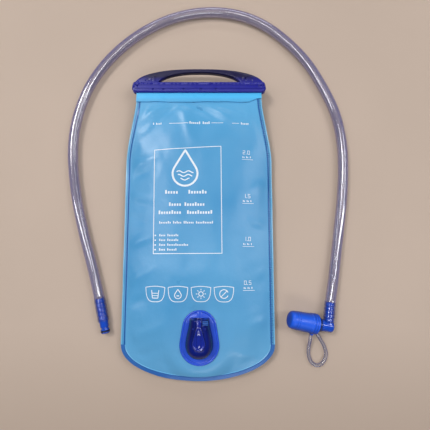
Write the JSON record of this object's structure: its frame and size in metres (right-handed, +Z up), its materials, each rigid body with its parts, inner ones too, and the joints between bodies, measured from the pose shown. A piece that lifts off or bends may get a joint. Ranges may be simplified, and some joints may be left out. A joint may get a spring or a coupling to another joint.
{
  "type": "hydration bladder",
  "caption": "Flat soft drinking-water bag with a slide-closure handle, a quick-release port and a separate clear drinking hose with elbow, bite valve and dust cap.",
  "frame": {"origin": "on the ground under the middle of the bag's box, without the hose and what is on it", "axes": "+Y from the port end to the mouth and handle, +X across the bag, +Z up out of the port"},
  "size_m": [0.3279, 0.4382, 0.0375],
  "materials": {
    "film_back": "satin translucent film",
    "film_front": "satin translucent film",
    "bead": "satin",
    "closure_plastic": "semi-gloss",
    "flange_plastic": "gloss",
    "seal_rubber": "matte",
    "housing_plastic": "gloss",
    "valve_plastic": "satin",
    "spring_steel": "bright",
    "button_plastic": "gloss",
    "latch_plastic": "satin",
    "hose_clear": "clear gloss",
    "fitting_plastic": "gloss",
    "valve_silicone": "satin silicone",
    "tether_clear": "clear gloss",
    "cap_plastic": "semi-gloss"
  },
  "bodies": {
    "root": {"back_film": "film_back", "front_film": "film_front", "back_bead": "bead", "front_bead": "bead", "port_flange": "flange_plastic", "port_seal": "seal_rubber", "port_housing": "housing_plastic", "valve_seat_ring": "valve_plastic", "poppet_spring": "spring_steel", "button_spring": "spring_steel", "hose": "hose_clear", "plug_body": "fitting_plastic", "plug_o_ring": "seal_rubber", "elbow": "fitting_plastic", "bite_valve": "valve_silicone", "tether_ring": "tether_clear", "cap_tether": "tether_clear"},
    "closure": {"slide_closure": "closure_plastic"},
    "button": {"release_button": "button_plastic", "latch_plate": "latch_plastic"},
    "poppet": {"shutoff_poppet": "valve_plastic", "poppet_seal": "seal_rubber"},
    "cap": {"dust_cap": "cap_plastic"}
  },
  "joints": [
    {"name": "closure_slide", "type": "slide", "parent": "root", "child": "closure", "axis": [1, 0, 0], "range_m": [0, 0.158]},
    {"name": "button_press", "type": "slide", "parent": "root", "child": "button", "axis": [0, 0, -1], "range_m": [0, 0.0018], "stiffness_N_per_m": 400, "springref_m": -0.001, "deforming": ["button_spring"]},
    {"name": "poppet_open", "type": "slide", "parent": "root", "child": "poppet", "axis": [0, -1, 0], "range_m": [0, 0.0035], "stiffness_N_per_m": 300, "springref_m": -0.001, "deforming": ["poppet_spring"]},
    {"name": "cap_pull", "type": "slide", "parent": "root", "child": "cap", "axis": [-0.9531, 0.2026, 0.225], "range_m": [0, 0.026], "deforming": ["cap_tether"]}
  ]
}
